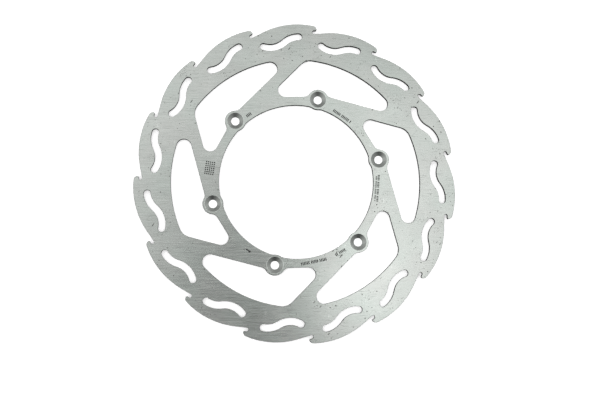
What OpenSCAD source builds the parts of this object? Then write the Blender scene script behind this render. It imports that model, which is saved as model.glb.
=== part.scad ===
// One-piece motorcycle brake disc with a flame-cut rim.
// A flat ground steel plate lies on z = 0, its hub face down and its countersinks up.
// The disc's axis is +Z and the first bolt hole lies on +X.

/* [Plate] */
// Thickness of the plate
plate_t = 3; // [2.5:0.1:5]
// Diameter over the crests of the flames
disc_d = 260; // [258:1:270]

/* [Bore and bolt holes] */
// Diameter of the hub bore between the lugs
bore_d = 124.6; // [122:0.1:126]
// Number of bolt holes, lugs and windows
bolt_count = 6; // [6]
// Diameter of the bolt circle
bolt_pcd = 139; // [138.6:0.1:139.6]
// Diameter of a bolt hole
hole_d = 6.8; // [6:0.1:7.5]
// Diameter of a countersink at the upper face
sink_d = 13.4; // [11:0.1:13.8]
// Included angle of a countersink
sink_angle = 110; // [106:1:120]
// Diameter of the lug around a bolt hole
lug_d = 16.6; // [16:0.1:17.2]
// Radius of the fillet between the bore and a lug
bore_fillet = 8; // [6:0.5:10]

/* [Windows] */
// Diameter of the circle that the windows' outer edges follow
window_d = 201; // [199:0.5:202]
// Distance from the disc's axis to a spoke's outer edge
spoke_far = 73.9; // [73.5:0.1:74.5]
// Width of a spoke
spoke_w = 8.8; // [8:0.1:10]
// Distance from the disc's axis to a window's hub-side edge
inner_edge = 69.3; // [69:0.1:69.8]
// Angle from the bolt to the middle of the hub-side edge
inner_edge_angle = 16.2; // [15:0.1:17]
// Radius of the window's narrow corner
tail_r = 6; // [4:0.5:7]
// Radius of the corner between the rim and the next spoke
front_r = 11; // [8:0.5:12]
// Radius of the corner between the next spoke and the hub ring
head_r = 5.9; // [4:0.1:7]
// Radius of the fillets where the lug enters the window
neck_r = 5.7; // [4:0.1:6]

/* [Flames] */
// Number of flames, and of slots
flame_count = 15; // [15]
// Radius of a flame's long back
flame_r = 62.5; // [60:0.5:65]
// Angle from a notch to the centre of its flame's back
flame_turn = 4.8; // [4.6:0.1:5]
// Distance from the disc's axis to a notch's centre
notch_at = 124.4; // [124.2:0.1:124.6]
// Radius of a notch
notch_r = 1.4; // [1.2:0.1:1.5]
// Distance from the disc's axis to the centre of a flame's tip
tip_at = 127; // [126.9:0.1:127.2]
// Angle from the notch back to the tip's centre
tip_turn = 0.4; // [0.3:0.1:0.6]
// Radius of the tip
tip_r = 1; // [0.7:0.1:1.1]
// Radius of the nose above the tip
nose_r = 2.5; // [2:0.1:3]
// Angle on the flame's back where the nose begins
nose_angle = -4.5; // [-5:0.1:-4]
// Angle from the first bolt hole to the first notch
notch_phase = -4.1; // [-5:0.1:-3]

/* [Slots] */
// Width of a slot
slot_w = 5.6; // [4:0.1:6]
// Distance from the disc's axis to the middle of a slot
slot_at = 115.1; // [114:0.1:116]
// Angle from a notch to the middle of the next slot
slot_turn = 11.6; // [11:0.1:12]
// Slope of a slot's middle against the disc's tangent
slot_slope = 36; // [32:1:38]
// Radius of a slot's two bends, at its centre line
slot_r = 17.4; // [16:0.1:19]
// Length of the straight between the bends
slot_straight = 1.6; // [0.5:0.1:3]
// Sweep of the bend towards the rim
slot_rim_sweep = 40; // [35:1:44]
// Sweep of the bend towards the hub
slot_hub_sweep = 58; // [50:1:62]

/* [Hidden] */
arc_error = 0.03;        // how far a chord may stand off its arc
clear = 1;               // how far a cutting tool runs past a face
hole_fn = 64;

bolt_pitch = 360 / bolt_count;
flame_pitch = 360 / flame_count;
bolt = [bolt_pcd / 2, 0];
lug_r = lug_d / 2;
bore_r = bore_d / 2;
rim_r = window_d / 2;
spoke_near = spoke_far - spoke_w;
sink_slope = tan(sink_angle / 2);
sink_depth = (sink_d - hole_d) / 2 / sink_slope;

// ---- plane geometry ----
function unit(angle) = [cos(angle), sin(angle)];
function heading(v) = atan2(v.y, v.x);
function turned(p, angle) = [p.x * cos(angle) - p.y * sin(angle), p.x * sin(angle) + p.y * cos(angle)];
function turned_all(points, angle) = [for (p = points) turned(p, angle)];
// b, moved by whole turns to lie up to one turn after a, or before it
function after(a, b) = b + 360 * ceil((a - b) / 360);
function before(a, b) = b - 360 * ceil((b - a) / 360);
// the other leg of a right triangle
function leg(hypotenuse, side) = sqrt(hypotenuse * hypotenuse - side * side);
// where two lines cross, each given by its normal's angle and its distance from the origin
function crossing(a1, d1, a2, d2) =
    [d1 * sin(a2) - d2 * sin(a1), d2 * cos(a1) - d1 * cos(a2)] / sin(a2 - a1);
// the angle at which a circle of radius r1 touches the straight to an opposite-handed circle of radius r2
function inner_tangent(v, r1, r2) = acos((r1 + r2) / norm(v));

// points of the arc [centre, radius, first angle, last angle]
function arc_points(arc) =
    let (
        sweep = arc[3] - arc[2],
        step = 2 * acos(1 - arc_error / arc[1]),
        n = ceil(abs(sweep) / step)
    )
    [for (i = [0:n]) arc[0] + arc[1] * unit(arc[2] + sweep * i / n)];

// an outline is a chain of arcs, joined by straight lines
function chain(arcs) = [for (arc = arcs, p = arc_points(arc)) p];

// ---- outlines ----
// one flame, in a frame with its notch on +X
function flame_arcs() =
    let (
        back = flame_centre(),
        last_back = turned(back, -flame_pitch),
        notch = [notch_at, 0],
        tip = tip_at * unit(-tip_turn),
        nose = back + (flame_r - nose_r) * unit(nose_angle),
        a_back = heading(notch - last_back) - inner_tangent(notch - last_back, flame_r, notch_r),
        a_notch = heading(tip - notch) + inner_tangent(tip - notch, notch_r, tip_r),
        a_tip = heading(nose - tip) - 90 + asin((tip_r - nose_r) / norm(nose - tip))
    )
    [
        [notch, notch_r, a_back + 180, before(a_back + 180, a_notch)],
        [tip, tip_r, a_notch + 180, after(a_notch + 180, a_tip)],
        [nose, nose_r, a_tip, after(a_tip, nose_angle)],
        [back, flame_r, nose_angle, after(nose_angle, a_back + flame_pitch)],
    ];
function flame_centre() = (disc_d / 2 - flame_r) * unit(flame_turn);

// the bore's share of one bolt hole, in a frame with that hole on +X
function bore_arcs() =
    let (
        x = (bolt.x ^ 2 + (bore_r - bore_fillet) ^ 2 - (lug_r + bore_fillet) ^ 2) / 2 / bolt.x,
        first = [x, -leg(bore_r - bore_fillet, x)],
        last = [x, -first.y],
        a_first = heading(first - bolt)
    )
    [
        [[0, 0], bore_r, -bolt_pitch / 2, heading(first)],
        [first, bore_fillet, heading(first), after(heading(first), heading(bolt - first))],
        [bolt, lug_r, a_first, before(a_first, heading(last - bolt))],
        [last, bore_fillet, heading(bolt - last), after(heading(bolt - last), heading(last))],
        [[0, 0], bore_r, heading(last), bolt_pitch / 2],
    ];

// one window, in a frame with its bolt hole on +X
function window_arcs() =
    let (
        tail = [spoke_far + tail_r, -leg(rim_r - tail_r, spoke_far + tail_r)],
        front = turned([spoke_near - front_r, -leg(rim_r - front_r, spoke_near - front_r)], bolt_pitch),
        head = crossing(bolt_pitch, spoke_near - head_r, inner_edge_angle, inner_edge + head_r),
        neck_out = inner_edge + neck_r,
        bolt_out = bolt * unit(inner_edge_angle),
        bolt_along = turned(bolt, -inner_edge_angle).y,
        neck = turned([neck_out, bolt_along + leg(lug_r + neck_r, neck_out - bolt_out)], inner_edge_angle),
        heel = [spoke_far + neck_r, -leg(lug_r + neck_r, spoke_far + neck_r - bolt.x)],
        a_inner = 180 + inner_edge_angle,
        a_lug = heading(neck - bolt)
    )
    [
        [tail, tail_r, 180, after(180, heading(tail))],
        [[0, 0], rim_r, heading(tail), heading(front)],
        [front, front_r, heading(front), after(heading(front), bolt_pitch)],
        [head, head_r, bolt_pitch, a_inner],
        [neck, neck_r, a_inner, after(a_inner, heading(bolt - neck))],
        [bolt, lug_r, a_lug, before(a_lug, heading(heel - bolt))],
        [heel, neck_r, heading(bolt - heel), after(heading(bolt - heel), 180)],
    ];

// one slot, in a frame with its middle on +X
function slot_arcs() =
    let (
        along = slot_slope - 90,
        side = along + 90,
        middle = [slot_at, 0],
        rim_bend = middle + slot_straight / 2 * unit(along) - slot_r * unit(side),
        hub_bend = middle - slot_straight / 2 * unit(along) + slot_r * unit(side),
        rim_a = side - slot_rim_sweep,
        hub_a = side - 180 - slot_hub_sweep,
        half = slot_w / 2
    )
    [
        [hub_bend, slot_r + half, hub_a, side - 180],
        [rim_bend, slot_r - half, side, rim_a],
        [rim_bend + slot_r * unit(rim_a), half, rim_a - 180, rim_a],
        [rim_bend, slot_r + half, rim_a, side],
        [hub_bend, slot_r - half, side - 180, hub_a],
        [hub_bend + slot_r * unit(hub_a), half, hub_a - 180, hub_a],
    ];

module rim_outline() {
    flame = chain(flame_arcs());
    polygon([for (i = [0:flame_count - 1], p = turned_all(flame, notch_phase + i * flame_pitch)) p]);
}

module bore_outline() {
    share = chain(bore_arcs());
    polygon([for (i = [0:bolt_count - 1], p = turned_all(share, i * bolt_pitch)) p]);
}

module windows() {
    for (i = [0:bolt_count - 1])
        rotate(i * bolt_pitch)
            polygon(chain(window_arcs()));
}

module slots() {
    for (i = [0:flame_count - 1])
        rotate(notch_phase + slot_turn + i * flame_pitch)
            polygon(chain(slot_arcs()));
}

module countersunk_hole() {
    translate([0, 0, -clear])
        cylinder(h = plate_t + 2 * clear, d = hole_d, $fn = hole_fn);
    translate([0, 0, plate_t - sink_depth])
        cylinder(h = sink_depth + clear, d1 = hole_d, d2 = sink_d + 2 * clear * sink_slope, $fn = hole_fn);
}

// ---- the disc, one solid cut from one plate ----
module brake_disc() {
    color([0.74, 0.76, 0.75])
        difference() {
            linear_extrude(plate_t)
                difference() {
                    rim_outline();
                    bore_outline();
                    windows();
                    slots();
                }
            for (i = [0:bolt_count - 1])
                rotate(i * bolt_pitch)
                    translate(bolt)
                        countersunk_hole();
        }
}

brake_disc();
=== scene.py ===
"""One-piece motorcycle brake disc: a ground steel plate with a flame-cut rim, on a pale floor."""

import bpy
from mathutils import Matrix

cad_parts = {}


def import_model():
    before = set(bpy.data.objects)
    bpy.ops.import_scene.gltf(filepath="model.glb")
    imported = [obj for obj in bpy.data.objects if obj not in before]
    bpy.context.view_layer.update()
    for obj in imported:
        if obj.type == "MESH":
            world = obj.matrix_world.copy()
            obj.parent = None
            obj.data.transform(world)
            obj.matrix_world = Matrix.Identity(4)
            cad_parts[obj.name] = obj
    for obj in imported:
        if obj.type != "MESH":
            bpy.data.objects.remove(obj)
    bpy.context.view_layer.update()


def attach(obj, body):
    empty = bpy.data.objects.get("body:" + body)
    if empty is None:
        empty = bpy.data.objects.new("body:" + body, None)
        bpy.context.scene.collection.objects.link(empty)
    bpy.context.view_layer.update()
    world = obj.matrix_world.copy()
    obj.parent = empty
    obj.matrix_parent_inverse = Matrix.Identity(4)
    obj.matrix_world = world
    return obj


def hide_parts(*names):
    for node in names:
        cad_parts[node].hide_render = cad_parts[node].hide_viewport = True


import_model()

import math
import random
from collections import namedtuple
from functools import reduce

import bpy
import numpy as np
from mathutils import Vector
from mathutils.geometry import delaunay_2d_cdt

MM = 0.001               # metres
WHITE = (1, 1, 1, 1)

# ---- the plate's dimensions in mm and degrees, the same as the CAD part's ----
PLATE_T = 3.0            # thickness of the plate
DISC_R = 130.0           # radius over the crests of the flames
BORE_R = 62.3            # radius of the hub bore between the lugs
BOLTS = 6                # number of bolt holes, lugs and windows
BOLT_AT = 69.5           # radius of the bolt circle
HOLE_R = 3.4             # radius of a bolt hole
SINK_R = 6.7             # radius of a countersink at the upper face
SINK_ANGLE = 110.0       # included angle of a countersink
SINK_DEPTH = (SINK_R - HOLE_R) / math.tan(math.radians(SINK_ANGLE / 2))
LUG_R = 8.3              # radius of the lug around a bolt hole
BORE_FILLET = 8.0        # radius of the fillet between the bore and a lug

WINDOW_R = 100.5         # radius of the circle that the windows' outer edges follow
SPOKE_FAR = 73.9         # distance from the axis to a spoke's outer edge
SPOKE_W = 8.8            # width of a spoke
SPOKE_NEAR = SPOKE_FAR - SPOKE_W
INNER_EDGE = 69.3        # distance from the axis to a window's hub-side edge
INNER_EDGE_ANGLE = 16.2  # angle from the bolt to the middle of that edge
TAIL_R = 6.0             # radius of the window's narrow corner
FRONT_R = 11.0           # radius of the corner between the rim and the next spoke
HEAD_R = 5.9             # radius of the corner between the next spoke and the hub ring
NECK_R = 5.7             # radius of the fillets where the lug enters the window

FLAMES = 15              # number of flames, and of slots
FLAME_R = 62.5           # radius of a flame's long back
FLAME_TURN = 4.8         # angle from a notch to the centre of its flame's back
NOTCH_AT = 124.4         # distance from the axis to a notch's centre
NOTCH_R = 1.4            # radius of a notch
TIP_AT = 127.0           # distance from the axis to the centre of a flame's tip
TIP_TURN = 0.4           # angle from the notch back to the tip's centre
TIP_R = 1.0              # radius of the tip
NOSE_R = 2.5             # radius of the nose above the tip
NOSE_ANGLE = -4.5        # angle on the flame's back where the nose begins
NOTCH_PHASE = -4.1       # angle from the first bolt hole to the first notch

SLOT_W = 5.6             # width of a slot
SLOT_AT = 115.1          # distance from the axis to the middle of a slot
SLOT_TURN = 11.6         # angle from a notch to the middle of the next slot
SLOT_SLOPE = 36.0        # slope of a slot's middle against the disc's tangent
SLOT_R = 17.4            # radius of a slot's two bends, at its centre line
SLOT_STRAIGHT = 1.6      # length of the straight between the bends
SLOT_RIM_SWEEP = 40.0    # sweep of the bend towards the rim
SLOT_HUB_SWEEP = 58.0    # sweep of the bend towards the hub

BOLT_PITCH = 360 / BOLTS
FLAME_PITCH = 360 / FLAMES

# ---- what the visual mesh adds, in mm ----
EDGE_BREAK = 0.18        # radius of the rubbed-down edges
EDGE_ANGLES = (90, 60, 30, 0)    # how steeply such an edge's normals rise, from the face to the wall
MOUTH_BREAK = 0.12       # how far a countersink's mouth is broken
ARC_ERROR = 0.008        # how far a chord may stand off its arc
LONGEST_STEP = 2.5       # longest step along an outline
SAME_POINT = 1e-4        # points nearer than this are one point
CAP_GRID = 4.0           # spacing of the points inside the two faces
GRID_ROW = 0.87          # spacing of the rows of these points, as a share of that
EDGE_CLEAR = 0.45 * CAP_GRID     # how far they stay from an outline's points
MARK_CLEAR = 1.0         # how far they stay from a mark's corners
CAP_ERROR = 1e-5         # how near two points count as one when a face is cut into triangles
HOLE_STEPS = 96          # sides of a bolt hole


# ---- plane geometry ----
def unit(angle):
    a = math.radians(angle)
    return Vector((math.cos(a), math.sin(a)))


def heading(v):
    return math.degrees(math.atan2(v[1], v[0]))


def turned(p, angle):
    c, s = unit(angle)
    return Vector((p[0] * c - p[1] * s, p[0] * s + p[1] * c))


def after(a, b):
    """b, moved by whole turns to lie up to one turn after a."""
    return b + 360 * math.ceil((a - b) / 360)


def before(a, b):
    """b, moved by whole turns to lie up to one turn before a."""
    return b - 360 * math.ceil((b - a) / 360)


def leg(hypotenuse, side):
    """The other leg of a right triangle."""
    return math.sqrt(hypotenuse ** 2 - side ** 2)


def crossing(a1, d1, a2, d2):
    """Where two lines cross, each given by its normal's angle and its distance from the origin."""
    n1, n2 = unit(a1), unit(a2)
    return Vector((d1 * n2.y - d2 * n1.y, d2 * n1.x - d1 * n2.x)) / math.sin(math.radians(a2 - a1))


def inner_tangent(v, r1, r2):
    """The angle between v, which joins two circles' centres, and the radii to their inner tangent."""
    return math.degrees(math.acos((r1 + r2) / v.length))


Arc = namedtuple("Arc", "centre radius start end")


def outline(arcs, turn):
    """Points of a closed chain of tangent arcs and the unit normals to the right of its travel."""
    points, normals = [], []

    def add(p, n):
        if not points or (p - points[-1]).length > SAME_POINT:
            points.append(p)
            normals.append(n)

    for i, arc in enumerate(arcs):
        sweep = arc.end - arc.start
        step = 2 * math.degrees(math.acos(1 - ARC_ERROR / arc.radius))
        step = min(step, math.degrees(LONGEST_STEP / arc.radius))
        n = max(1, math.ceil(abs(sweep) / step))
        side = 1 if sweep > 0 else -1
        centre = Vector(arc.centre)
        for k in range(n + 1):
            u = unit(arc.start + sweep * k / n)
            add(centre + arc.radius * u, side * u)
        after_it = arcs[(i + 1) % len(arcs)]
        here, there = points[-1], Vector(after_it.centre) + after_it.radius * unit(after_it.start)
        pieces = math.ceil((there - here).length / LONGEST_STEP)
        for k in range(1, pieces):
            add(here.lerp(there, k / pieces), normals[-1])
    if (points[0] - points[-1]).length < SAME_POINT:
        points.pop()
        normals.pop()
    return [turned(p, turn) for p in points], [turned(n, turn) for n in normals]


# ---- the outlines, as arcs ----
def repeated(share, count):
    """A chain's share of arcs, repeated at equal turns round the axis."""
    pitch = 360 / count
    return [
        Arc(turned(a.centre, i * pitch), a.radius, a.start + i * pitch, a.end + i * pitch)
        for i in range(count) for a in share
    ]


def flame_arcs():
    """One flame, in a frame with its notch on +X."""
    back = (DISC_R - FLAME_R) * unit(FLAME_TURN)
    last_back = turned(back, -FLAME_PITCH)
    notch = Vector((NOTCH_AT, 0))
    tip = TIP_AT * unit(-TIP_TURN)
    nose = back + (FLAME_R - NOSE_R) * unit(NOSE_ANGLE)
    a_back = heading(notch - last_back) - inner_tangent(notch - last_back, FLAME_R, NOTCH_R)
    a_notch = heading(tip - notch) + inner_tangent(tip - notch, NOTCH_R, TIP_R)
    lean = math.degrees(math.asin((TIP_R - NOSE_R) / (nose - tip).length))
    a_tip = heading(nose - tip) - 90 + lean
    return [
        Arc(notch, NOTCH_R, a_back + 180, before(a_back + 180, a_notch)),
        Arc(tip, TIP_R, a_notch + 180, after(a_notch + 180, a_tip)),
        Arc(nose, NOSE_R, a_tip, after(a_tip, NOSE_ANGLE)),
        Arc(back, FLAME_R, NOSE_ANGLE, after(NOSE_ANGLE, a_back + FLAME_PITCH)),
    ]


def rim_arcs():
    """The whole rim."""
    return repeated(flame_arcs(), FLAMES)


def bore_arcs():
    """The whole bore, with the foot of a lug at every bolt hole."""
    inner, outer = BORE_R - BORE_FILLET, LUG_R + BORE_FILLET
    x = (BOLT_AT ** 2 + inner ** 2 - outer ** 2) / 2 / BOLT_AT
    first, last = Vector((x, -leg(inner, x))), Vector((x, leg(inner, x)))
    bolt = Vector((BOLT_AT, 0))
    a_lug = heading(first - bolt)
    one_lug = [
        Arc(first, BORE_FILLET, heading(first), after(heading(first), heading(bolt - first))),
        Arc(bolt, LUG_R, a_lug, before(a_lug, heading(last - bolt))),
        Arc(last, BORE_FILLET, heading(bolt - last), after(heading(bolt - last), heading(last))),
        Arc(Vector((0, 0)), BORE_R, heading(last), heading(first) + BOLT_PITCH),
    ]
    return repeated(one_lug, BOLTS)


def window_arcs():
    """One window, in a frame with its bolt hole on +X."""
    bolt = Vector((BOLT_AT, 0))
    tail = Vector((SPOKE_FAR + TAIL_R, -leg(WINDOW_R - TAIL_R, SPOKE_FAR + TAIL_R)))
    front_x = SPOKE_NEAR - FRONT_R
    front = turned((front_x, -leg(WINDOW_R - FRONT_R, front_x)), BOLT_PITCH)
    head = crossing(BOLT_PITCH, SPOKE_NEAR - HEAD_R, INNER_EDGE_ANGLE, INNER_EDGE + HEAD_R)
    neck_out = INNER_EDGE + NECK_R
    seen_bolt = turned(bolt, -INNER_EDGE_ANGLE)
    neck_y = seen_bolt.y + leg(LUG_R + NECK_R, neck_out - seen_bolt.x)
    neck = turned((neck_out, neck_y), INNER_EDGE_ANGLE)
    heel_x = SPOKE_FAR + NECK_R
    heel = Vector((heel_x, -leg(LUG_R + NECK_R, heel_x - bolt.x)))
    a_inner = 180 + INNER_EDGE_ANGLE
    a_lug = heading(neck - bolt)
    return [
        Arc(tail, TAIL_R, 180, after(180, heading(tail))),
        Arc(Vector((0, 0)), WINDOW_R, heading(tail), heading(front)),
        Arc(front, FRONT_R, heading(front), after(heading(front), BOLT_PITCH)),
        Arc(head, HEAD_R, BOLT_PITCH, a_inner),
        Arc(neck, NECK_R, a_inner, after(a_inner, heading(bolt - neck))),
        Arc(bolt, LUG_R, a_lug, before(a_lug, heading(heel - bolt))),
        Arc(heel, NECK_R, heading(bolt - heel), after(heading(bolt - heel), 180)),
    ]


def slot_arcs():
    """One slot, in a frame with its middle on +X."""
    along = SLOT_SLOPE - 90
    side = along + 90
    middle = Vector((SLOT_AT, 0))
    rim_bend = middle + SLOT_STRAIGHT / 2 * unit(along) - SLOT_R * unit(side)
    hub_bend = middle - SLOT_STRAIGHT / 2 * unit(along) + SLOT_R * unit(side)
    rim_a = side - SLOT_RIM_SWEEP
    hub_a = side - 180 - SLOT_HUB_SWEEP
    half = SLOT_W / 2
    return [
        Arc(hub_bend, SLOT_R + half, hub_a, side - 180),
        Arc(rim_bend, SLOT_R - half, side, rim_a),
        Arc(rim_bend + SLOT_R * unit(rim_a), half, rim_a - 180, rim_a),
        Arc(rim_bend, SLOT_R + half, rim_a, side),
        Arc(hub_bend, SLOT_R - half, side - 180, hub_a),
        Arc(hub_bend + SLOT_R * unit(hub_a), half, hub_a - 180, hub_a),
    ]


# ---- laser marks: plain bars, dots and an arrow, no lettering ----
BAR_WIDTH = 0.62         # a bar's width, as a share of the bars' pitch
GROUP_STEP = 1.8         # the step from one group of bars to the next, as a share of that pitch
GROUP_SIZE = (4, 6)      # the fewest and the most bars in a group
DOT_R = 0.36             # a dot's radius, as a share of the dots' pitch
DOT_SIDES = 12
MARK_SEED = 15


def rectangle(x, y, w, h):
    return [(x, y), (x + w, y), (x + w, y + h), (x, y + h)]


def placed(shape, at_r, at_angle):
    """A mark's shape, its middle at a radius and an angle, its up pointing away from the axis."""
    middle = at_r * unit(at_angle)
    return [middle + turned(p, at_angle - 90) for p in shape]


def bar_row(rng, length, height, middle=0.0, pitch=1.2):
    """A row of equal upright bars in groups, with a space between the groups."""
    out, x, left = [], -length / 2, rng.randint(*GROUP_SIZE)
    while x < length / 2:
        out.append(rectangle(x, middle - height / 2, BAR_WIDTH * pitch, height))
        left -= 1
        x += pitch if left else GROUP_STEP * pitch
        left = left or rng.randint(*GROUP_SIZE)
    return out


def dot_block(columns, rows, pitch):
    """A plain block of round dots, all alike."""
    dot = [DOT_R * pitch * unit(360 / DOT_SIDES * k) for k in range(DOT_SIDES)]
    middles = [
        pitch * Vector((i - (columns - 1) / 2, j - (rows - 1) / 2))
        for i in range(columns) for j in range(rows)
    ]
    return [[middle + q for q in dot] for middle in middles]


def turn_arrow(length, width):
    """An arrow that shows the turning direction, counter-clockwise from the countersunk side."""
    half = length / 2
    shaft = width / 5
    neck = -half + width * 0.8
    return [[
        (half, -shaft), (half, shaft), (neck, shaft), (neck, width / 2),
        (-half, 0), (neck, -width / 2), (neck, -shaft),
    ]]


def all_marks():
    """The outlines of all marks. Each row's shapes are followed by their radius and angle on the disc."""
    rng = random.Random(MARK_SEED)
    rows = [
        (bar_row(rng, 5.2, 2.4), 66.3, 110),
        (bar_row(rng, 17.2, 2.4), 65.4, 40),
        (bar_row(rng, 22.0, 1.6, middle=0.9), 65.3, -20),
        (bar_row(rng, 20.0, 1.2, middle=-1.0, pitch=0.9), 65.3, -20),
        (bar_row(rng, 21.5, 2.4), 65.9, -94),
        (bar_row(rng, 9.0, 2.2), 66.8, -74),
        (dot_block(7, 5, 1.6), 70.5, 156.3),
        (turn_arrow(5.0, 2.4), 67.9, 220),
    ]
    return [placed(shape, r, a) for shapes, r, a in rows for shape in shapes]


# ---- the visual mesh ----
FACE, WALL, CONE, MARK = range(4)    # the material slots, in the order that the disc gets them


class Builder:
    """Collects vertices, faces, each face's material and each corner's normal."""

    def __init__(self):
        self.verts, self.faces, self.slots, self.normals = [], [], [], []

    def ring(self, points, z):
        start = len(self.verts)
        self.verts += [(p[0] * MM, p[1] * MM, z * MM) for p in points]
        return list(range(start, start + len(points)))

    def face(self, corners, slot, normals):
        self.faces.append(corners)
        self.slots.append(slot)
        self.normals += normals

    def strip(self, upper, lower, up_normals, low_normals, slot, turn_over):
        """Quads between two rings of the same length. turn_over reverses them, for a hole."""
        n = len(upper)
        for i in range(n):
            j = (i + 1) % n
            corners = [upper[i], lower[i], lower[j], upper[j]]
            normals = [up_normals[i], low_normals[i], low_normals[j], up_normals[j]]
            if turn_over:
                corners.reverse()
                normals.reverse()
            self.face(corners, slot, normals)


def tilted(normals, angle):
    """Plane normals raised from the horizontal by an angle."""
    c, s = unit(angle)
    return [(n[0] * c, n[1] * c, s) for n in normals]


def shifted(points, normals, by):
    return [p + n * by for p, n in zip(points, normals)]


def rounded_edge(build, points, normals, face_z, sign, turn_over):
    """Builds a broken edge between a face and a wall. Returns its ring on each of the two.

    sign is 1 on the upper face and -1 on the lower one.
    """
    rings = []
    for angle in EDGE_ANGLES:
        c, s = unit(angle)
        ring_z = face_z - sign * EDGE_BREAK * (1 - s)
        ring = build.ring(shifted(points, normals, -EDGE_BREAK * (1 - c)), ring_z)
        rings.append((ring, tilted(normals, sign * angle)))
    for (a, na), (b, nb) in zip(rings, rings[1:]):
        if sign > 0:
            build.strip(a, b, na, nb, WALL, turn_over)
        else:
            build.strip(b, a, nb, na, WALL, turn_over)
    return rings[0][0], rings[-1][0]


def cut_wall(build, points, normals, hole):
    """The wall of an outline, with both edges broken. Returns its rings on the two faces."""
    top_cap, top_wall = rounded_edge(build, points, normals, PLATE_T, 1, hole)
    low_cap, low_wall = rounded_edge(build, points, normals, 0.0, -1, hole)
    flat = tilted(normals, 0)
    build.strip(top_wall, low_wall, flat, flat, WALL, hole)
    return top_cap, low_cap


def bolt_hole(build, centre):
    """A countersunk hole. Returns its rings on the two faces."""
    rays = [unit(360 * i / HOLE_STEPS) for i in range(HOLE_STEPS)]
    wall = [centre + HOLE_R * u for u in rays]
    rise = 90 - SINK_ANGLE / 2
    brow_r = SINK_R - MOUTH_BREAK
    brow_z = PLATE_T - (SINK_R - brow_r) * math.tan(math.radians(rise))
    mouth = build.ring([centre + (SINK_R + MOUTH_BREAK) * u for u in rays], PLATE_T)
    brow = build.ring([centre + brow_r * u for u in rays], brow_z)
    throat = build.ring(wall, PLATE_T - SINK_DEPTH)
    inward = [-u for u in rays]
    level, cone, flat = tilted(inward, 90), tilted(inward, 90 - rise), tilted(inward, 0)
    build.strip(mouth, brow, level, cone, FACE, True)
    build.strip(brow, throat, cone, cone, CONE, True)
    low_cap, low_wall = rounded_edge(build, wall, inward, 0.0, -1, True)
    build.strip(throat, low_wall, flat, flat, WALL, True)
    return mouth, low_cap


def inside(points, loop):
    """Even-odd test of many points against one closed loop."""
    a = np.asarray(loop, float)
    b = np.roll(a, -1, axis=0)
    x, y = points[:, 0:1], points[:, 1:2]
    straddles = (a[:, 1] > y) != (b[:, 1] > y)
    rise = np.where(b[:, 1] == a[:, 1], 1.0, b[:, 1] - a[:, 1])
    left = x < (b[:, 0] - a[:, 0]) * (y - a[:, 1]) / rise + a[:, 0]
    return (straddles & left).sum(axis=1) % 2 == 1


def within(points, loops):
    """Which points lie inside the first loop and outside all the others."""
    result = inside(points, loops[0])
    for loop in loops[1:]:
        result &= ~inside(points, loop)
    return result


def clear_of(points, corners, gap):
    """The points that lie further than a gap from every corner."""
    corners = np.array(corners)
    nearest = np.min(np.hypot(points[:, :1] - corners[:, 0], points[:, 1:] - corners[:, 1]), axis=1)
    return points[nearest > gap]


def grid_points(loops, marks):
    """Points on a triangular grid, kept clear of every outline and mark."""
    columns = math.ceil(DISC_R / CAP_GRID)
    rows = math.ceil(DISC_R / CAP_GRID / GRID_ROW)
    spots = np.array([
        ((i + 0.5 * (j % 2)) * CAP_GRID, j * CAP_GRID * GRID_ROW)
        for j in range(-rows, rows + 1) for i in range(-columns, columns + 1)
    ])
    spots = spots[within(spots, loops)]
    spots = clear_of(spots, [p for loop in loops for p in loop], EDGE_CLEAR)
    if marks:
        spots = clear_of(spots, [p for mark in marks for p in mark], MARK_CLEAR)
    return [Vector(s) for s in spots]


def cap(build, rings, z, marks):
    """A face of the plate: triangles between the outlines' rings, with marks cut flush into it."""
    loops = [[Vector((build.verts[i][0] / MM, build.verts[i][1] / MM)) for i in ring] for ring in rings]
    known = [i for ring in rings for i in ring]
    coords = [p for loop in loops for p in loop]
    edges = []
    for loop in loops + marks:
        start = len(edges)
        edges += [(start + i, start + (i + 1) % len(loop)) for i in range(len(loop))]
    coords += [Vector(p) for mark in marks for p in mark]
    coords += grid_points(loops, marks)
    out, _, tris, origin, _, _ = delaunay_2d_cdt(coords, edges, [], 0, CAP_ERROR)
    # a point that lies on an outline keeps its vertex there, and the others get new ones
    index = []
    for p, sources in zip(out, origin):
        own = [s for s in sources if s < len(known)]
        index.append(known[own[0]] if own else build.ring([p], z)[0])
    middles = np.array([sum((out[i] for i in t), Vector((0, 0))) / 3 for t in tris])
    inked = np.zeros(len(middles), bool)
    for mark in marks:
        inked |= inside(middles, mark)
    up = (0.0, 0.0, 1.0 if z > 0 else -1.0)
    for t, is_solid, is_inked in zip(tris, within(middles, loops), inked):
        if not is_solid:
            continue
        corners = [index[i] for i in t]
        if z == 0:
            corners.reverse()
        build.face(corners, MARK if is_inked else FACE, [up] * 3)


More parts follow.
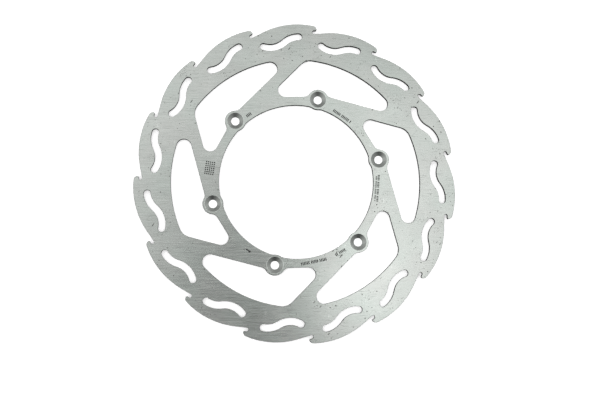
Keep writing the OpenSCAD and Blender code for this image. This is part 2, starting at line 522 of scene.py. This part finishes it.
def make_disc():
    """The whole plate, as one closed mesh."""
    build = Builder()
    tops, lows = [], []
    bolt_turns = [i * BOLT_PITCH for i in range(BOLTS)]
    slot_turns = [NOTCH_PHASE + SLOT_TURN + i * FLAME_PITCH for i in range(FLAMES)]
    chains = [
        (rim_arcs(), [NOTCH_PHASE], False),
        (bore_arcs(), [0], True),
        (window_arcs(), bolt_turns, True),
        (slot_arcs(), slot_turns, True),
    ]
    for arcs, turns, hole in chains:
        for turn in turns:
            points, normals = outline(arcs, turn)
            if hole:
                normals = [-n for n in normals]
            top, low = cut_wall(build, points, normals, hole)
            tops.append(top)
            lows.append(low)
    for turn in bolt_turns:
        top, low = bolt_hole(build, BOLT_AT * unit(turn))
        tops.append(top)
        lows.append(low)
    cap(build, tops, PLATE_T, all_marks())
    cap(build, lows, 0.0, [])
    mesh = bpy.data.meshes.new("brake_disc_visual")
    mesh.from_pydata(build.verts, [], build.faces)
    mesh.polygons.foreach_set("material_index", build.slots)
    mesh.polygons.foreach_set("use_smooth", [True] * len(build.faces))
    mesh.normals_split_custom_set(build.normals)
    mesh.update()
    disc = bpy.data.objects.new("disc_plate", mesh)
    bpy.context.scene.collection.objects.link(disc)
    return disc


# ---- materials ----
class Nodes:
    """A short way to write a node tree."""

    def __init__(self, tree):
        self.tree = tree

    def add(self, kind, inputs=(), **settings):
        node = self.tree.nodes.new(kind)
        for key, value in settings.items():
            setattr(node, key, value)
        for key, value in dict(inputs).items():
            self.feed(node.inputs[key], value)
        return node

    def feed(self, socket, value):
        if isinstance(value, bpy.types.NodeSocket):
            self.tree.links.new(value, socket)
        else:
            socket.default_value = value

    def math(self, operation, a, b=0.0, clamp=False):
        return self.add("ShaderNodeMath", {0: a, 1: b}, operation=operation, use_clamp=clamp).outputs[0]

    def product(self, *factors):
        """All the factors multiplied together."""
        return reduce(lambda a, b: self.math("MULTIPLY", a, b), factors)

    def largest(self, *values):
        """The largest of the values."""
        return reduce(lambda a, b: self.math("MAXIMUM", a, b), values)

    def noise(self, vector, scale=1.0, detail=2.0, rough=0.5):
        """A smooth random value round a half. The larger the scale, the smaller its features."""
        return self.add("ShaderNodeTexNoise", {
            "Vector": vector, "Scale": scale, "Detail": detail, "Roughness": rough,
        }).outputs["Fac"]

    def stretched(self, vector, turn, scale, offset=(0, 0, 0)):
        """Coordinates turned about Z and then scaled. An offset makes one noise differ from another."""
        rotated = self.add("ShaderNodeVectorRotate", {
            "Vector": vector, "Angle": math.radians(turn),
        }, rotation_type="Z_AXIS").outputs[0]
        return self.add("ShaderNodeMapping", {
            "Vector": rotated, "Scale": scale, "Location": offset,
        }).outputs[0]

    def ramp(self, fac, low, high, out_low=0.0, out_high=1.0):
        """A value that goes from out_low to out_high as fac goes from low to high, and no further."""
        return self.add("ShaderNodeMapRange", {
            "Value": fac, "From Min": low, "From Max": high, "To Min": out_low, "To Max": out_high,
        }).outputs[0]

    def mix(self, fac, a, b):
        """A mix of two colours, fed by number: a Mix node has colour sockets at 6, 7 and, going out, 2."""
        node = self.add("ShaderNodeMix", data_type="RGBA")
        self.feed(node.inputs[0], fac)
        self.feed(node.inputs[6], a)
        self.feed(node.inputs[7], b)
        return node.outputs[2]

    def scaled(self, colour, factor):
        """A colour times a number."""
        node = self.add("ShaderNodeVectorMath", operation="SCALE")
        self.feed(node.inputs[0], colour)
        self.feed(node.inputs["Scale"], factor)
        return node.outputs[0]


def new_material(name, metallic):
    """A material, its node tree, its shader and the place on the object in mm."""
    mat = bpy.data.materials.new(name)
    mat.use_nodes = True
    nodes = Nodes(mat.node_tree)
    shader = mat.node_tree.nodes["Principled BSDF"]
    shader.inputs["Metallic"].default_value = metallic
    place = nodes.add("ShaderNodeTexCoord").outputs["Object"]
    mm_in_metre = [1 / MM] * 3
    in_mm = nodes.add("ShaderNodeVectorMath", {0: place, 1: mm_in_metre}, operation="MULTIPLY").outputs[0]
    return mat, nodes, shader, in_mm


def finish_material(nodes, shader, colour, rough, height, strength, depth):
    """Feeds a shader its colour, its roughness and its relief: a height, a strength and a depth in metres."""
    nodes.feed(shader.inputs["Base Color"], colour)
    nodes.feed(shader.inputs["Roughness"], rough)
    bump = nodes.add("ShaderNodeBump", {"Height": height, "Strength": strength, "Distance": depth})
    nodes.feed(shader.inputs["Normal"], bump.outputs[0])


GRAIN_TURN = 15.5        # the turn that lays the grain of the belt grinding along X, in degrees
STEEL_GREEN = (0.499, 0.539, 0.508, 1)
STEEL_GREY = (0.516, 0.537, 0.513, 1)
PIT = (0.10, 0.10, 0.095, 1)
# light steel for the upward-facing tops of the broken edges: partly wear, partly a painted highlight
RUBBED_STEEL_AND_GLINT = (0.42, 0.44, 0.42, 1)
OXIDE = (0.017, 0.018, 0.017)
# far darker than the face's steel: painted shade in the countersinks
SHADED_TURNED_STEEL = (0.230, 0.242, 0.230)
BURNT_STEEL = (0.015, 0.015, 0.014)
GRIND_DEPTH = 0.00001    # metres
KERF_DEPTH = 0.00005     # metres
RING_DEPTH = 0.00005     # metres

# Specks lie on a grid: a cell's length and width in mm, the usual share of cells with a speck, the largest
# speck's radius as a share of a cell, the turn that lays the grid along X in degrees, and a seed.
Specks = namedtuple("Specks", "cell share size turn seed")
PITS = Specks((3.6, 2.9), 0.05, 0.19, 31, 1)
SMALL_PITS = Specks((1.7, 1.35), 0.035, 0.26, 62, 2)
NICKS = Specks((14.0, 3.0), 0.035, 0.17, -38, 3)
CRUMBS = Specks((1.25, 1.0), 0.34, 0.28, 124, 4)
FEW, MANY = 0.15, 2.6    # the share of cells with a speck where specks are few and many, over the usual share
SMALLEST = 0.35          # the smallest speck's radius over the largest's
SPECK_EDGE = 2.5         # how sharp a speck's edge is

# Hairlines follow the middle of a noise: the turn that lays them along X in degrees, their half width in
# that noise, and a seed.
Hairlines = namedtuple("Hairlines", "turn width seed")
DARK_LINES = [Hairlines(62, 0.0035, 1), Hairlines(-24, 0.003, 2)]
BRIGHT_LINES = [Hairlines(20, 0.004, 5), Hairlines(-70, 0.004, 6)]


def specks(nodes, mm, kind):
    """Sparse dark pits or nicks. One may sit in each cell of a turned grid."""
    scale = (1 / kind.cell[0], 1 / kind.cell[1], 0)
    offset = (kind.seed * 7.3, kind.seed * 3.1, 0)
    moved = nodes.stretched(mm, kind.turn, scale, offset)
    cells = nodes.add("ShaderNodeTexVoronoi", {
        "Vector": moved, "Scale": 1.0, "Randomness": 1.0,
    }, voronoi_dimensions="2D")
    pick = nodes.add("ShaderNodeSeparateColor", {0: cells.outputs["Color"]})
    # the crowd is low where specks are few and high where they are many
    crowd = nodes.noise(nodes.stretched(mm, 0, (1, 1, 0), (60, 25, 0)), 0.035, detail=1.0)
    limit = nodes.ramp(crowd, 0.42, 0.68, 1 - kind.share * FEW, 1 - kind.share * MANY)
    chosen = nodes.math("GREATER_THAN", pick.outputs[0], limit)
    radius = nodes.ramp(pick.outputs[1], 0, 1, kind.size * SMALLEST, kind.size)
    depth = nodes.math("SUBTRACT", 1, nodes.math("DIVIDE", cells.outputs["Distance"], radius), clamp=True)
    soft = nodes.math("MULTIPLY", depth, SPECK_EDGE, clamp=True)
    return nodes.math("MULTIPLY", soft, chosen)


def hairlines(nodes, mm, kind):
    """Short thin scratches: where a stretched noise crosses its middle, cut off by a second noise."""
    offset = (kind.seed * 11.7, kind.seed * 5.9, kind.seed)
    field = nodes.noise(nodes.stretched(mm, kind.turn, (0.035, 0.22, 0), offset), detail=0.0)
    off = nodes.math("ABSOLUTE", nodes.math("SUBTRACT", field, 0.5))
    line = nodes.math("SUBTRACT", 1, nodes.math("DIVIDE", off, kind.width), clamp=True)
    parts = nodes.noise(nodes.stretched(mm, kind.turn, (0.07, 0.07, 0), (kind.seed * 3, 0, 0)), detail=0.0)
    return nodes.math("MULTIPLY", line, nodes.ramp(parts, 0.58, 0.64))


def ground_face():
    """Belt-ground stainless steel: straight grain, streaks, patches, pits, nicks and hairline scratches."""
    mat, nodes, shader, mm = new_material("ground_steel_face", 1.0)
    coarse = nodes.noise(nodes.stretched(mm, GRAIN_TURN, (0.05, 0.9, 0)), detail=3.0, rough=0.6)
    fine = nodes.noise(nodes.stretched(mm, GRAIN_TURN, (0.25, 3.2, 0), (3, 8, 0)), detail=3.0, rough=0.65)
    streak = nodes.noise(nodes.stretched(mm, GRAIN_TURN, (0.09, 1.3, 0), (40, 17, 0)), detail=1.0)
    cloud = nodes.noise(mm, 0.045, detail=3.0, rough=0.55)
    blast = nodes.noise(mm, 0.9, rough=0.6)
    worn = nodes.noise(nodes.stretched(mm, 0, (1, 1, 0), (35, 70, 0)), 0.055, detail=1.0)
    crumbs = nodes.product(specks(nodes, mm, CRUMBS), nodes.ramp(worn, 0.60, 0.66))
    pits = nodes.largest(specks(nodes, mm, PITS), specks(nodes, mm, SMALL_PITS), crumbs,
                         specks(nodes, mm, NICKS))
    lines = nodes.largest(*[hairlines(nodes, mm, kind) for kind in DARK_LINES])
    shines = nodes.largest(*[hairlines(nodes, mm, kind) for kind in BRIGHT_LINES])
    tone = nodes.product(
        nodes.ramp(coarse, 0.25, 0.75, 0.92, 1.08),
        nodes.ramp(fine, 0.2, 0.8, 0.90, 1.10),
        nodes.ramp(cloud, 0.3, 0.7, 0.96, 1.04),
        nodes.ramp(blast, 0.25, 0.75, 0.985, 1.015),
        nodes.ramp(streak, 0.62, 0.74, 1.0, 0.78),
        nodes.ramp(lines, 0, 1, 1.0, 0.72),
        nodes.ramp(shines, 0, 1, 1.0, 1.22),
    )
    patch = nodes.ramp(nodes.noise(mm, 0.028), 0.35, 0.65)
    steel = nodes.mix(patch, STEEL_GREEN, STEEL_GREY)
    colour = nodes.mix(pits, nodes.scaled(steel, tone), PIT)
    rough = nodes.math("ADD", nodes.ramp(coarse, 0.3, 0.7, 0.18, 0.22), nodes.product(pits, 0.25))
    # the relief: the fine grain and the blast, with the pits and the dark lines cut into them
    height = nodes.math("ADD", nodes.product(fine, 0.5), nodes.product(blast, 0.15))
    height = nodes.math("SUBTRACT", height, nodes.product(pits, 3.0))
    height = nodes.math("SUBTRACT", height, nodes.product(lines, 1.2))
    finish_material(nodes, shader, colour, rough, height, 0.25, GRIND_DEPTH)
    return mat


def cut_edge():
    """A laser-cut wall: dull, dark with oxide, with kerf lines across the thickness, and rubbed edges whose
    upward-facing tops are lighter in patches: partly wear, partly a painted highlight.
    """
    mat, nodes, shader, mm = new_material("laser_cut_wall", 0.0)
    shader.inputs["Specular IOR Level"].default_value = 0.0
    kerf = nodes.noise(nodes.stretched(mm, 0, (3.6, 3.6, 0.15)))
    stain = nodes.noise(nodes.stretched(mm, 0, (0.2, 0.2, 0.8)), detail=3.0)
    tone = nodes.product(nodes.ramp(kerf, 0.35, 0.65, 0.3, 2.1), nodes.ramp(stain, 0.3, 0.7, 0.7, 1.3))
    facing = nodes.add("ShaderNodeSeparateXYZ", {0: nodes.add("ShaderNodeNewGeometry").outputs["Normal"]})
    # painted highlight: where a broken edge faces up it is mixed towards light steel in patches, partly wear
    # and partly a painted glint
    on_top = nodes.ramp(facing.outputs[2], 0.6, 0.9)
    rubbed_and_glint = nodes.product(on_top, nodes.ramp(nodes.noise(mm, 0.16, detail=3.0, rough=0.6), 0.57, 0.68))
    colour = nodes.mix(rubbed_and_glint, nodes.scaled(OXIDE, tone), RUBBED_STEEL_AND_GLINT)
    finish_material(nodes, shader, colour, nodes.ramp(stain, 0.3, 0.7, 0.6, 0.8), kerf, 0.6, KERF_DEPTH)
    return mat


def turned_cone():
    """A machined countersink: rings left by the cutter, which follow the height on the cone, on a steel kept
    dark as painted shade in the hollow.
    """
    mat, nodes, shader, mm = new_material("machined_countersink", 1.0)
    height = nodes.add("ShaderNodeSeparateXYZ", {0: mm}).outputs[2]
    level = nodes.add("ShaderNodeCombineXYZ", {2: height}).outputs[0]
    rings = nodes.noise(level, 7.0, detail=3.0, rough=0.7)
    grime = nodes.noise(mm, 0.9, detail=3.0, rough=0.6)
    tone = nodes.product(nodes.ramp(rings, 0.3, 0.7, 0.72, 1.2), nodes.ramp(grime, 0.3, 0.7, 0.8, 1.12))
    colour = nodes.scaled(SHADED_TURNED_STEEL, tone)
    finish_material(nodes, shader, colour, nodes.ramp(grime, 0.3, 0.7, 0.28, 0.42), rings, 0.5, RING_DEPTH)
    return mat


def laser_mark():
    """Steel darkened by a marking laser, uneven and matt, with no relief."""
    mat, nodes, shader, mm = new_material("laser_mark", 0.3)
    burn = nodes.noise(mm, 2.4, detail=3.0, rough=0.6)
    tone = nodes.ramp(burn, 0.3, 0.7, 0.6, 1.7)
    nodes.feed(shader.inputs["Base Color"], nodes.scaled(BURNT_STEEL, tone))
    nodes.feed(shader.inputs["Roughness"], nodes.ramp(burn, 0.3, 0.7, 0.48, 0.62))
    return mat


disc = make_disc()
for material in (ground_face(), cut_edge(), turned_cone(), laser_mark()):
    disc.data.materials.append(material)
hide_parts("brake_disc")
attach(disc, "root")

# ---- floor ----
FLOOR_HALF = 6.0         # metres
FLOOR_Z = -0.00005       # metres, just under the disc
FLOOR_WHITE = (0.9, 0.9, 0.9, 1)
FLOOR_ROUGH = 0.9
FLOOR_GLOW = 0.42        # the strength of its own light


def make_floor():
    """A pale matt floor that gives a little light of its own."""
    corners = [(x * FLOOR_HALF, y * FLOOR_HALF, FLOOR_Z) for x, y in ((-1, -1), (1, -1), (1, 1), (-1, 1))]
    mesh = bpy.data.meshes.new("floor")
    mesh.from_pydata(corners, [], [(0, 1, 2, 3)])
    mat = bpy.data.materials.new("pale_floor")
    mat.use_nodes = True
    shader = mat.node_tree.nodes["Principled BSDF"]
    shader.inputs["Base Color"].default_value = FLOOR_WHITE
    shader.inputs["Roughness"].default_value = FLOOR_ROUGH
    shader.inputs["Specular IOR Level"].default_value = 0.0
    shader.inputs["Emission Color"].default_value = WHITE
    shader.inputs["Emission Strength"].default_value = FLOOR_GLOW
    mesh.materials.append(mat)
    plane = bpy.data.objects.new("floor", mesh)
    bpy.context.scene.collection.objects.link(plane)
    return plane


floor = make_floor()

# ---- studio light: a pale dome that dims towards the horizon, with a soft lamp overhead, dark shapes
# round the lamp, a dark side in front, and bright sides to the left and right ----
DOME = 1.38              # the dome's full strength
HORIZON = 0.5            # the dome's strength at the horizon, as a share of that
DIM_UP_TO = 0.1          # the sine of the height up to which the dome is as dim as at the horizon
FULL_FROM = 0.5          # the sine of the height from which the dome has its full strength
# a patch of the dome, seen from above with the dome's radius as 1: the X and Y of its middle, its spread,
# and how much it adds to the dome
Patch = namedtuple("Patch", "x y spread strength")
OVERHEAD_LAMP = Patch(0.22, 0.10, 0.16, 2.3)
LAMP_CORE = Patch(0.15, -0.03, 0.05, 4.0)
CAMERA_SHADE = Patch(0.10, 0.0, 0.16, -1.95)
LAMP_SURROUND = Patch(0.40, 0.22, 0.30, -2.4)
DARK_SIDE = Patch(-0.20, -1.00, 0.60, -1.2)
BRIGHT_RIGHT = Patch(0.85, 0.30, 0.50, 1.1)
BRIGHT_LEFT = Patch(-0.90, 0.25, 0.40, 0.7)
PATCHES = [OVERHEAD_LAMP, LAMP_CORE, CAMERA_SHADE, LAMP_SURROUND, DARK_SIDE, BRIGHT_RIGHT, BRIGHT_LEFT]


def studio_world():
    """The dome and its patches. Below the horizon the patches add nothing."""
    world = bpy.data.worlds.new("studio")
    world.use_nodes = True
    nodes = Nodes(world.node_tree)
    towards = nodes.add("ShaderNodeTexCoord").outputs["Generated"]
    axes = nodes.add("ShaderNodeSeparateXYZ", {0: towards})
    above = nodes.math("GREATER_THAN", axes.outputs[2], 0.0)
    light = nodes.ramp(axes.outputs[2], DIM_UP_TO, FULL_FROM, DOME * HORIZON, DOME)
    for patch in PATCHES:
        dx = nodes.math("SUBTRACT", axes.outputs[0], patch.x)
        dy = nodes.math("SUBTRACT", axes.outputs[1], patch.y)
        square = nodes.math("ADD", nodes.product(dx, dx), nodes.product(dy, dy))
        fall = nodes.math("EXPONENT", nodes.product(square, -1 / patch.spread ** 2))
        light = nodes.math("ADD", light, nodes.product(fall, above, patch.strength))
    light = nodes.math("MAXIMUM", light, 0.0)
    back = world.node_tree.nodes["Background"]
    back.inputs["Color"].default_value = WHITE
    nodes.feed(back.inputs["Strength"], light)
    bpy.context.scene.world = world


studio_world()

# ---- camera ----
CAMERA_AT = (-83.0, -78.6, 721.2)         # mm
CAMERA_TURN = (6.56, -4.89, -15.58)       # degrees about X, Y and Z
CAMERA_LENS = 54.26                       # mm
CAMERA_NEAR = 0.01                        # metres: nothing nearer is drawn
camera_data = bpy.data.cameras.new("camera")
camera_data.lens = CAMERA_LENS
camera_data.clip_start = CAMERA_NEAR
camera = bpy.data.objects.new("camera", camera_data)
camera.location = Vector(CAMERA_AT) * MM
camera.rotation_euler = [math.radians(angle) for angle in CAMERA_TURN]
bpy.context.scene.collection.objects.link(camera)
bpy.context.scene.camera = camera
bpy.context.scene.view_settings.view_transform = "Standard"
